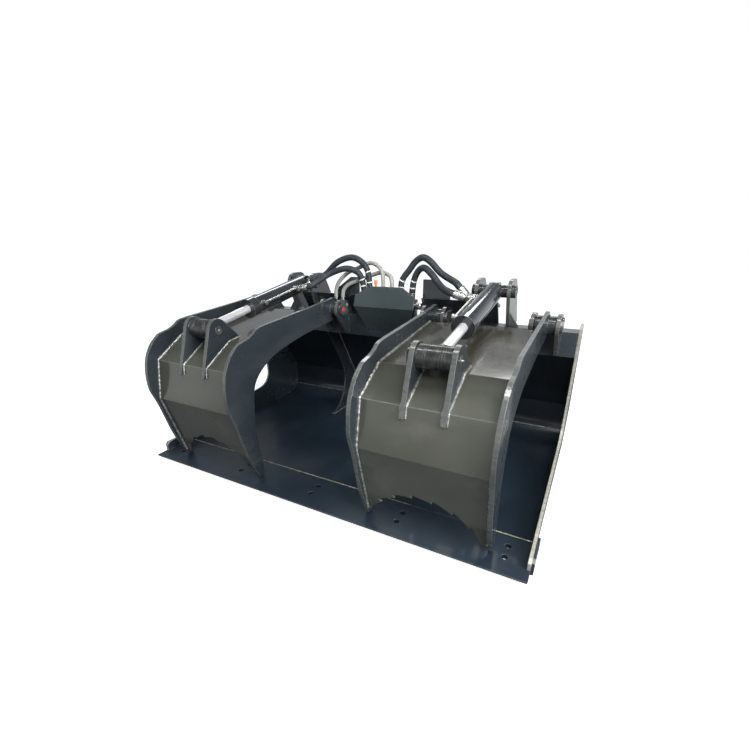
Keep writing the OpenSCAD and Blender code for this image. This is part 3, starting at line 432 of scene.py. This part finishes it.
# From the front of the edge to the frame's origin.
FRAME_Y = 581
PIVOT = (772, 706)
CLAW_REACH, TIP_Z = 689, 24
CLAW_MID, CLAW_W, TINE_T = 546.5, 501, 16
EAR_W, EAR_T = 146, 18
# Shares of the cover's top and front runs at which an ear ends.
EAR_FOOT, EAR_TAIL = 0.766, 0.129
BEAM_FRONT, BEAM_TOP, BEAM_LOW = 840, 670, 560
SHEET_T, HEEL_Y, HEEL_R, BACK_Y = 10, 1070, 115, 1185
# Height at which the back starts to lean, and its lean in degrees.
BACK_BEND, BACK_LEAN = 212, 30
BASE_PIN, ROD_PIN = (861, 826), (130, 697)
# Ends of the pins: from the middle of a cylinder, and from the middle of a tine.
BASE_PIN_END, ROD_PIN_END, PIVOT_PIN_END = 97, 83, 70
HOSE_R, SUPPLY_R = 16, 11
# Straight start of a hose at its cylinder.
HOSE_LEAD = 24
# The looks stay this share of a radius inside the solid hoses.
SLIM = 0.98


def at(x, y, z):
    """Point in the row frame from millimetres counted from the front of the edge."""
    return Vector((x * MM, (y - FRAME_Y) * MM, z * MM))


def on_claw(u, v):
    return (PIVOT[0] - u * CLAW_REACH, TIP_Z + v * (PIVOT[1] - TIP_Z))


COVER = [on_claw(*q) for q in ((0.126, 0.99), (0.859, 0.903), (1.077, 0.771),
                               (1.128, 0.507), (1.012, 0.029))]


def between(a, b, share):
    return tuple(p + share * (q - p) for p, q in zip(a, b))


# Hoses.
# Direction of a cylinder from its base pin to its rod pin, at rest.
AXIS_LEN = math.hypot(ROD_PIN[0] - BASE_PIN[0], ROD_PIN[1] - BASE_PIN[1])
AXIS = ((ROD_PIN[0] - BASE_PIN[0]) / AXIS_LEN, (ROD_PIN[1] - BASE_PIN[1]) / AXIS_LEN)
# Elbows of a cylinder: their place across it, the length of a sleeve, and for each its
# offset, its place along the cylinder and its tilt in degrees.
ELBOW_X, SLEEVE = 96, 48.05
FITTINGS = ((0, 100, 45), (12, 150, 15))
PORT_TOP = at(0, 852, 800)
QUICK_Y, QUICK_Z = 848, 756
ROUTE_STEPS = 6
# Ties of a hose: points of its path that carry one, and their profile.
TIE_POINTS = (-4, -7)
TIE = [(0, HOSE_R - 0.4), (0.3, HOSE_R + 0.9), (5.7, HOSE_R + 0.9), (6, HOSE_R - 0.4)]
# Side, elbow, place of the port across, and the run between, in millimetres of the frame.
ROUTES = {
    "left_outer": (-1, 0, -104, [(-376, 255, 875), (-301, 267, 938), (-219, 275, 964),
        (-156, 276, 944), (-117, 275, 895)]),
    "left_inner": (-1, 1, -140, [(-327, 214, 880), (-237, 239, 910), (-174, 257, 895),
        (-150, 267, 858)]),
    "right_outer": (1, 0, 76, [(372, 236, 862), (293, 257, 899), (233, 269, 949),
        (190, 277, 967), (150, 281, 947), (119, 279, 908), (83, 275, 860)]),
    "right_inner": (1, 1, 140, [(315, 204, 844), (257, 231, 894), (210, 251, 921),
        (174, 263, 906), (149, 269, 860)]),
}
# Places of the port and of the quick coupler across, and the run between.
SUPPLY = {
    "supply_one": (-24, -318, [(-26, 274, 850), (-36, 282, 895), (-72, 298, 925),
        (-125, 312, 935), (-200, 312, 908), (-255, 298, 885), (-300, 278, 840),
        (-316, 268, 795)]),
    "supply_two": (24, -274, [(24, 275, 845), (4, 292, 876), (-50, 312, 889),
        (-105, 314, 878), (-145, 300, 862), (-192, 278, 845), (-240, 272, 825),
        (-268, 268, 795)]),
}


def joint_at(side, k):
    up, s, _ = FITTINGS[k]
    return at(side * (CLAW_MID - ELBOW_X), BASE_PIN[0] + s * AXIS[0] + up * AXIS[1],
              BASE_PIN[1] + s * AXIS[1] - up * AXIS[0])


def sleeve_dir(side, k):
    a = math.radians(FITTINGS[k][2])
    return Vector((-side * math.cos(a), 0, math.sin(a)))


def metres(points):
    return [Vector(p) * MM for p in points]


def hose(name, path, radius, material, sides=16):
    verts, faces, along = sweep(path, radius, sides)
    obj = add_mesh(name, verts, faces, material)
    give_tube_uv(obj, along, sides)
    return obj, along[-1]


def add_hoses():
    for name, (side, k, port, run) in ROUTES.items():
        start = joint_at(side, k) + SLEEVE * MM * sleeve_dir(side, k)
        end = PORT_TOP + Vector((port * MM, 0, 0))
        lead = start + HOSE_LEAD * MM * sleeve_dir(side, k)
        path = catmull([start, lead] + metres(run) + [end], ROUTE_STEPS)
        obj, length = hose("hose_" + name, path, SLIM * HOSE_R * MM, "hose")
        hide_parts(name + "_hose")
        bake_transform(obj)
        for n, i in enumerate(TIE_POINTS):
            d = (path[i] - path[i - 1]).normalized()
            lathe(f"tie_{name}_{n}", TIE, path[i], d, "tie", "bucket")
    for name, (port, quick, run) in SUPPLY.items():
        end = PORT_TOP + Vector((port * MM, 0, 0))
        path = catmull([end] + metres(run) + [at(quick, QUICK_Y, QUICK_Z)], ROUTE_STEPS)
        obj, length = hose("hose_" + name, path, SLIM * SUPPLY_R * MM, "supply")
        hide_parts("supply_hoses")
        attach(obj, "bucket")


# Weld beads: their radii, and where they run, in millimetres.
COVER_BEAD, EAR_BEAD, SIDE_BEAD, BRACKET_BEAD, BOSS_BEAD, THIN_BEAD = 5.2, 4.4, 4.2, 4.0, 3.6, 3.4
BEAD_SIDES = 7
# How far a bead's middle stands off the face that it lies on.
OFF_FACE = 1.5
BOSS_R = 40
# Lugs and bracket plates: from the middle of a tine or cylinder, and half a plate with its bead.
LUG_STEP, BRACKET_STEP, PLATE_FACE = 52, 73, 9
LUG_BACK = 890
BRACKET_RUN = (872, 920)
RIB_X, RIB_FACE, RIB_TOE = 415, 6.5, 892
SIDE_X, BACK_X = 926.5, 924
SIDE_START, SIDE_EDGE, SIDE_EDGE_Z = 60, 208, 21.5
# The bend of the heel's seam, in degrees below the level of the heel's middle.
SEAM_TURN = math.radians(28.7)
# The seam of edge and floor is bare between the claws. Under the right claw its lengths are dark,
# painted shade where the claw's cover shadows the seam, but for a short stroke of painted glint.
# Each length has its name, its ends across, its radius and its look.
FLOOR_SEAM = (211, 17)
FLOOR_BEADS = (
    ("line_left", -926, 244, SIDE_BEAD, "gold_bead"),
    ("painted_a", 244, 324, SIDE_BEAD, "dark_bead"),
    ("line_short", 324, 433, THIN_BEAD, "gold_bead"),
    ("painted_b", 433, 707, SIDE_BEAD, "dark_bead"),
    ("line_right", 707, 926, SIDE_BEAD, "gold_bead"),
)


def weld(name, points, radius, material, body, closed=False, step=2.6):
    """Rippled bead along points, in millimetres from the front of the edge."""
    pts = [at(*p) for p in points]
    if closed:
        pts.append(pts[0])
    path, radii = [], []
    run = 0.0
    for a, b in zip(pts, pts[1:]):
        length = (b - a).length / MM
        n = max(2, int(length / step))
        for i in range(n):
            path.append(a.lerp(b, i / n))
            run += length / n
            ripple = math.sin(run * 1.22) + 0.5 * math.sin(run * 0.31 + 1.3 * len(name))
            radii.append(radius * MM * (1 + 0.16 * ripple))
    if not closed:
        path.append(pts[-1])
        radii.append(radius * MM)
    verts, faces, _ = sweep(path, radii, BEAD_SIDES, closed)
    obj = add_mesh("weld_" + name, verts, faces, material)
    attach(obj, body)


def ring(x, centre, radius, n=56):
    return [(x, centre[0] + radius * math.cos(2 * math.pi * i / n),
             centre[1] + radius * math.sin(2 * math.pi * i / n)) for i in range(n)]


def add_claw_welds(side, word):
    body = word + "_claw"
    middle = side * CLAW_MID
    half = (CLAW_W - TINE_T) / 2
    low = between(COVER[4], COVER[3], 0.04)
    edge = [COVER[0], COVER[1], COVER[2], COVER[3], low]
    ear = [between(COVER[3], COVER[2], EAR_FOOT), COVER[2], COVER[1],
           between(COVER[1], COVER[0], EAR_TAIL)]
    for s, tag in ((-1, "a"), (1, "b")):
        x = middle + s * (half - OFF_FACE)
        weld(f"{word}_cover_{tag}", [(x, y, z) for y, z in edge], COVER_BEAD, "bead", body)
        tine = middle + s * CLAW_W / 2
        for e, tag2 in ((-1, "c"), (1, "d")):
            x = middle + s * EAR_W / 2 + e * (EAR_T / 2 + OFF_FACE)
            weld(f"{word}_ear_{tag}{tag2}", [(x, y, z) for y, z in ear], EAR_BEAD, "bead", body)
            weld(f"{word}_boss_{tag}{tag2}", ring(tine + e * (TINE_T / 2 + 1), PIVOT, BOSS_R),
                 BOSS_BEAD, "dark_bead", body, closed=True)
            for k, tag3 in ((-1, "m"), (1, "p")):
                x = tine + k * LUG_STEP + e * PLATE_FACE
                weld(f"{word}_lug_{tag}{tag2}{tag3}",
                     [(x, BEAM_FRONT - 1, BEAM_LOW + 8), (x, BEAM_FRONT - 1, BEAM_TOP + 1),
                      (x, LUG_BACK, BEAM_TOP + 1)], THIN_BEAD, "dark_bead", "bucket")
            x = middle + s * BRACKET_STEP + e * PLATE_FACE
            weld(f"{word}_bracket_{tag}{tag2}", [(x, y, BEAM_TOP + 1) for y in BRACKET_RUN],
                 BRACKET_BEAD, "bead", "bucket")


def shell_inside():
    """Outline of the inner face of the sheets, from the edge to the beam."""
    inner_r = HEEL_R - SHEET_T
    pts = [(FLOOR_SEAM[0] - 1, SHEET_T), (HEEL_Y, SHEET_T)]
    pts += [(HEEL_Y + inner_r * math.sin(a), HEEL_R - inner_r * math.cos(a))
            for a in (math.radians(15 * i) for i in range(1, 7))]
    pts.append((BACK_Y - SHEET_T, BACK_BEND))
    lean = (BEAM_LOW - BACK_BEND) * math.tan(math.radians(BACK_LEAN))
    pts.append((BACK_Y - SHEET_T - lean, BEAM_LOW))
    return pts


def add_bucket_welds():
    for word, x0, x1, radius, look in FLOOR_BEADS:
        weld(f"floor_{word}", [(x0, *FLOOR_SEAM), (x1, *FLOOR_SEAM)], radius, look, "bucket")
    inner = shell_inside()
    top = inner[-1]
    for side, word in ((-1, "left"), (1, "right")):
        x = side * SIDE_X
        weld(f"{word}_side", [(x, SIDE_START, SIDE_EDGE_Z), (x, SIDE_EDGE, SIDE_EDGE_Z)]
             + [(x, y - 1, z + 1) for y, z in inner[:-1]] + [(x, *top)],
             SIDE_BEAD, "dark_bead", "bucket")
        for e, tag in ((-1, "a"), (1, "b")):
            x = side * RIB_X + e * RIB_FACE
            weld(f"{word}_rib_{tag}", [(x, RIB_TOE, SHEET_T + 1)]
                 + [(x, y - 1, z + 1) for y, z in inner[1:]], THIN_BEAD, "bead", "bucket")
    weld("beam_back", [(x, top[0] - 1, BEAM_LOW - 1) for x in (-BACK_X, BACK_X)],
         THIN_BEAD, "dark_bead", "bucket")
    seam_r = HEEL_R - SHEET_T - 1
    seam = (HEEL_Y + seam_r * math.cos(SEAM_TURN), HEEL_R - seam_r * math.sin(SEAM_TURN))
    weld("seam", [(x, *seam) for x in (-BACK_X, BACK_X)], THIN_BEAD, "bead", "bucket")


# Small hardware.
def lathe(name, profile, centre, axis, material, body, sides=28):
    """Turned piece: (distance along axis, radius) pairs in millimetres from centre."""
    axis = Vector(axis).normalized()
    side = axis.orthogonal().normalized()
    other = axis.cross(side)
    verts, faces = [], []
    for along, r in profile:
        for k in range(sides):
            a = 2 * math.pi * k / sides
            verts.append(centre + MM * (along * axis
                                        + r * (math.cos(a) * side + math.sin(a) * other)))
    for i in range(len(profile) - 1):
        for k in range(sides):
            k2 = (k + 1) % sides
            faces.append((i * sides + k, i * sides + k2, (i + 1) * sides + k2,
                          (i + 1) * sides + k))
    faces.append(tuple(range(sides - 1, -1, -1)))
    faces.append(tuple((len(profile) - 1) * sides + k for k in range(sides)))
    obj = add_mesh(name, verts, faces, material, smooth=sides > 8)
    if sides > 8:
        obj.data.set_sharp_from_angle(angle=math.radians(35))
    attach(obj, body)
    return obj


# Profiles: distance along the axis and radius, in millimetres.
NUT = [(0, 17.1), (0.8, 18.2), (12.2, 18.2), (13, 17.1)]
FERRULE = [(0, 17.4), (1.5, 19.2), (9, 19.2), (10, 18.4), (13, 18.4), (14, 19.2),
           (22, 19.2), (23, 18.4), (26, 18.4), (27, 19.2), (34, 19.2), (36, 17.2)]
GREASE = [(0, 4), (2, 4), (2.2, 2.6), (5, 2.6), (5.6, 3.2), (7, 3.2), (8, 2)]
BAND = [(0, 41.5), (0.8, 42.8), (3.2, 42.8), (4, 41.5)]
RED_MARK = [(0, 11), (0.8, 11), (1.4, 9), (1.6, 4)]
# How far a ferrule and a nut start from the middle of their elbow.
FERRULE_AT, NUT_AT = 14, 9
# Where the bands of the rod rings start, across from the middle of a cylinder.
BAND_PLACES = (26, 34, 58, -32, -40, -63)


def add_hardware():
    across = Vector((1, 0, 0))
    for side, word in ((-1, "left"), (1, "right")):
        barrel, claw = word + "_cylinder_barrel", word + "_claw"
        middle = side * CLAW_MID
        for k in range(len(FITTINGS)):
            d, joint = sleeve_dir(side, k), joint_at(side, k)
            lathe(f"{word}_ferrule_{k}", FERRULE, joint + FERRULE_AT * MM * d, d,
                          "plated", barrel)
            out = side * across
            lathe(f"{word}_nut_{k}", NUT, joint + NUT_AT * MM * out, out, "plated",
                          barrel, sides=6)
        for pin, reach, body in ((BASE_PIN, BASE_PIN_END, "bucket"),
                                 (ROD_PIN, ROD_PIN_END, claw)):
            lathe(f"{word}_grease_{body}", GREASE, at(middle + reach, *pin), across,
                          "plated", body, sides=12)
        for x in BAND_PLACES:
            lathe(f"{word}_band_{'m' if x < 0 else 'p'}{abs(x)}", BAND,
                          at(middle + x, *ROD_PIN), across, "turned", claw, sides=48)
    mark = at(-CLAW_MID + CLAW_W / 2 + PIVOT_PIN_END, *PIVOT)
    lathe("red_pin_mark", RED_MARK, mark, across, "red", "bucket")


# Light and floor: name, place, aim, size and power of each lamp, in metres and watts.
LAMPS = (
    ("key", (1.8, -2.6, 3.0), (0, 0, 0.3), (2.4, 1.2), 90),
    ("right", (2.9, -1.1, 1.5), (0.6, 0, 0.4), (1.4, 1.4), 105),
    ("rim", (-0.9, 2.0, 2.7), (0.0, -0.1, 0.7), (3.4, 0.5), 34),
    ("strip", (0.2, -0.9, 3.0), (0, -0.2, 0.7), (3.6, 0.14), 45),
)
FLOOR_REACH, FLOOR_Z = 14.0, -0.0005
FLOOR_TONE, FLOOR_GLOW = (0.6, 0.6, 0.6, 1), 0.78
BOUNCE_TONE = (0.12, 0.13, 0.14, 1)
# Distances between which the floor's gleam in glossy faces comes in, and its strength.
GLEAM_FROM, GLEAM_FULL, GLEAM = 1.8, 5.0, 0.75
SKY_TONE, SKY_STRENGTH = (0.93, 0.96, 1, 1), 0.48
# Sky as glossy faces mirror it: height and tone of its low and its high end.
MIRRORED_SKY = ((0.12, (0.80, 0.82, 0.84, 1)), (0.5, (0.13, 0.15, 0.18, 1)))


def area_light(name, place, target, size, power):
    data = bpy.data.lights.new(name, "AREA")
    data.shape = "RECTANGLE"
    data.size, data.size_y = size
    data.energy = power
    lamp = bpy.data.objects.new(name, data)
    lamp.location = place
    lamp.rotation_euler = (Vector(target) - Vector(place)).to_track_quat("-Z", "Y").to_euler()
    bpy.context.collection.objects.link(lamp)


def add_floor():
    """Pale floor for the camera, and a dark one with a distant gleam for every other ray."""
    mesh = bpy.data.meshes.new("floor")
    corners = ((-1, -1), (1, -1), (1, 1), (-1, 1))
    mesh.from_pydata([(x * FLOOR_REACH, y * FLOOR_REACH, FLOOR_Z) for x, y in corners], [],
                     [(0, 1, 2, 3)])
    floor = bpy.data.objects.new("floor", mesh)
    bpy.context.collection.objects.link(floor)
    mat = bpy.data.materials.new("floor_white")
    mat.use_nodes = True
    tree = mat.node_tree
    node, link = tree.nodes.new, tree.links.new
    bsdf = tree.nodes["Principled BSDF"]
    bsdf.inputs["Base Color"].default_value = FLOOR_TONE
    bsdf.inputs["Roughness"].default_value = 0.9
    bsdf.inputs["Specular IOR Level"].default_value = 0.1
    glow = node("ShaderNodeEmission")
    glow.inputs["Strength"].default_value = FLOOR_GLOW
    rays = node("ShaderNodeLightPath")
    shown = node("ShaderNodeAddShader")
    link(bsdf.outputs[0], shown.inputs[0])
    link(glow.outputs[0], shown.inputs[1])
    bounce = node("ShaderNodeBsdfDiffuse")
    bounce.inputs["Color"].default_value = BOUNCE_TONE
    place = node("ShaderNodeNewGeometry")
    reach_of = node("ShaderNodeVectorMath")
    reach_of.operation = "LENGTH"
    link(place.outputs["Position"], reach_of.inputs[0])
    far = node("ShaderNodeMapRange")
    for key, value in (("From Min", GLEAM_FROM), ("From Max", GLEAM_FULL), ("To Min", 0),
                       ("To Max", GLEAM)):
        far.inputs[key].default_value = value
    link(reach_of.outputs["Value"], far.inputs["Value"])
    gleam = node("ShaderNodeMath")
    gleam.operation = "MULTIPLY"
    link(far.outputs["Result"], gleam.inputs[0])
    link(rays.outputs["Is Glossy Ray"], gleam.inputs[1])
    distant = node("ShaderNodeEmission")
    link(gleam.outputs[0], distant.inputs["Strength"])
    unseen = node("ShaderNodeAddShader")
    link(bounce.outputs[0], unseen.inputs[0])
    link(distant.outputs[0], unseen.inputs[1])
    pick = node("ShaderNodeMixShader")
    link(rays.outputs["Is Camera Ray"], pick.inputs[0])
    link(unseen.outputs[0], pick.inputs[1])
    link(shown.outputs[0], pick.inputs[2])
    link(pick.outputs[0], tree.nodes["Material Output"].inputs["Surface"])
    mesh.materials.append(mat)


def add_sky():
    """White for the camera, a ramp for glossy faces and a soft even sky for the rest."""
    world = bpy.context.scene.world or bpy.data.worlds.new("world")
    bpy.context.scene.world = world
    world.use_nodes = True
    tree = world.node_tree
    tree.nodes.clear()
    node, link = tree.nodes.new, tree.links.new
    out = node("ShaderNodeOutputWorld")
    rays = node("ShaderNodeLightPath")
    seen = node("ShaderNodeMath")
    seen.operation = "MAXIMUM"
    link(rays.outputs["Is Camera Ray"], seen.inputs[0])
    link(rays.outputs["Is Transmission Ray"], seen.inputs[1])
    white = node("ShaderNodeBackground")
    white.inputs["Color"].default_value = (1, 1, 1, 1)
    soft = node("ShaderNodeBackground")
    soft.inputs["Color"].default_value = SKY_TONE
    soft.inputs["Strength"].default_value = SKY_STRENGTH
    mirrored = node("ShaderNodeBackground")
    way = node("ShaderNodeTexCoord")
    split = node("ShaderNodeSeparateXYZ")
    ramp = node("ShaderNodeValToRGB")
    for stop, (height, tone) in zip(ramp.color_ramp.elements, MIRRORED_SKY):
        stop.position = height
        stop.color = tone
    link(way.outputs["Generated"], split.inputs[0])
    link(split.outputs["Z"], ramp.inputs["Fac"])
    link(ramp.outputs["Color"], mirrored.inputs["Color"])
    mirror_mix = node("ShaderNodeMixShader")
    link(rays.outputs["Is Glossy Ray"], mirror_mix.inputs[0])
    link(soft.outputs[0], mirror_mix.inputs[1])
    link(mirrored.outputs[0], mirror_mix.inputs[2])
    mix = node("ShaderNodeMixShader")
    link(seen.outputs[0], mix.inputs[0])
    link(mirror_mix.outputs[0], mix.inputs[1])
    link(white.outputs[0], mix.inputs[2])
    link(mix.outputs[0], out.inputs["Surface"])


make_materials()
add_camera()
add_hoses()
dress_nodes()
add_bucket_welds()
for side, word in ((-1, "left"), (1, "right")):
    add_claw_welds(side, word)
add_hardware()
add_floor()
add_sky()
for lamp in LAMPS:
    area_light(*lamp)
bpy.context.scene.view_settings.view_transform = "Standard"
